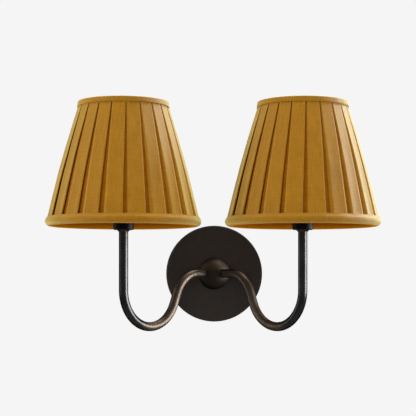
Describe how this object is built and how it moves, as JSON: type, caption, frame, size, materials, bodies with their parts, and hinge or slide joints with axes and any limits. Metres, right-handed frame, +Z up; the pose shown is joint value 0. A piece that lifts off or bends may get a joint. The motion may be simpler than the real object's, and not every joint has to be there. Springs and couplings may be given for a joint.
{
  "type": "double arm wall sconce",
  "caption": "Wall light with two swan-neck tube arms on a round backplate, each carrying a lampholder and a pleated fabric shade.",
  "frame": {"origin": "midway between the two fixing holes of the bracket, in the wall plane, on the hub's axis", "axes": "+X to the right along the wall, +Y into the wall, +Z up"},
  "size_m": [0.43, 0.2497, 0.2953],
  "materials": {
    "zinc_steel": "zinc plated, satin",
    "brass": "plain brass",
    "terminal_plastic": "moulded polyamide",
    "bronzed_metal": "dark bronze lacquer with a brown patina, satin",
    "cable_sheath": "PVC sheath",
    "black_phenolic": "moulded, glossy",
    "ceramic": "steatite ceramic, unglazed",
    "lamp_cap_metal": "nickel-plated, rolled thread",
    "lamp_glass": "clear glass",
    "lamp_filament": "yellow phosphor sticks on a glass stem",
    "shade_fabric": "ochre slub silk, box-pleated",
    "lining_fabric": "plain woven lining",
    "shade_wire": "pale lacquered steel wire"
  },
  "bodies": {
    "base": {"wall_bracket": "zinc_steel", "earth_screw": "brass", "earth_washer": "zinc_steel", "terminal_block": "terminal_plastic", "terminal_sleeves": "brass", "terminal_screws": "zinc_steel", "block_screw": "zinc_steel", "rim_screws": "bronzed_metal", "backplate": "bronzed_metal", "hub": "bronzed_metal", "hub_nipple": "zinc_steel", "hub_washer": "zinc_steel", "hub_nut": "zinc_steel", "arm_left": "bronzed_metal", "arm_cable_left": "cable_sheath", "arm_ferrule_left": "bronzed_metal", "holder_nipple_left": "zinc_steel", "holder_nut_left": "zinc_steel", "holder_cap_left": "black_phenolic", "holder_skirt_left": "black_phenolic", "holder_insulator_left": "ceramic", "screw_shell_left": "brass", "centre_contact_left": "brass", "arm_right": "bronzed_metal", "arm_cable_right": "cable_sheath", "arm_ferrule_right": "bronzed_metal", "holder_nipple_right": "zinc_steel", "holder_nut_right": "zinc_steel", "holder_cap_right": "black_phenolic", "holder_skirt_right": "black_phenolic", "holder_insulator_right": "ceramic", "screw_shell_right": "brass", "centre_contact_right": "brass"},
    "shade_left": {"shade_cover_left": "shade_fabric", "shade_lining_left": "lining_fabric", "top_trim_left": "shade_fabric", "bottom_trim_left": "shade_fabric", "top_wire_left": "shade_wire", "bottom_wire_left": "shade_wire", "shade_struts_left": "shade_wire", "shade_fitter_left": "shade_wire"},
    "ring_left": {"shade_ring_left": "black_phenolic"},
    "lamp_left": {"lamp_cap_left": "lamp_cap_metal", "lamp_glass_left": "lamp_glass", "lamp_filament_left": "lamp_filament"},
    "shade_right": {"shade_cover_right": "shade_fabric", "shade_lining_right": "lining_fabric", "top_trim_right": "shade_fabric", "bottom_trim_right": "shade_fabric", "top_wire_right": "shade_wire", "bottom_wire_right": "shade_wire", "shade_struts_right": "shade_wire", "shade_fitter_right": "shade_wire"},
    "ring_right": {"shade_ring_right": "black_phenolic"},
    "lamp_right": {"lamp_cap_right": "lamp_cap_metal", "lamp_glass_right": "lamp_glass", "lamp_filament_right": "lamp_filament"}
  },
  "joints": [
    {"name": "shade_turn_left", "type": "hinge", "parent": "base", "child": "shade_left", "pos_m": [-0.115, -0.14972, 0.0842], "axis": [0, 0, 1], "continuous": true},
    {"name": "ring_turn_left", "type": "hinge", "parent": "base", "child": "ring_left", "pos_m": [-0.115, -0.14972, 0.0887], "axis": [0, 0, 1], "continuous": true},
    {"name": "lamp_turn_left", "type": "hinge", "parent": "base", "child": "lamp_left", "pos_m": [-0.115, -0.14972, 0.09], "axis": [0, 0, 1], "continuous": true},
    {"name": "shade_turn_right", "type": "hinge", "parent": "base", "child": "shade_right", "pos_m": [0.115, -0.14972, 0.0842], "axis": [0, 0, 1], "continuous": true},
    {"name": "ring_turn_right", "type": "hinge", "parent": "base", "child": "ring_right", "pos_m": [0.115, -0.14972, 0.0887], "axis": [0, 0, 1], "continuous": true},
    {"name": "lamp_turn_right", "type": "hinge", "parent": "base", "child": "lamp_right", "pos_m": [0.115, -0.14972, 0.09], "axis": [0, 0, 1], "continuous": true}
  ]
}
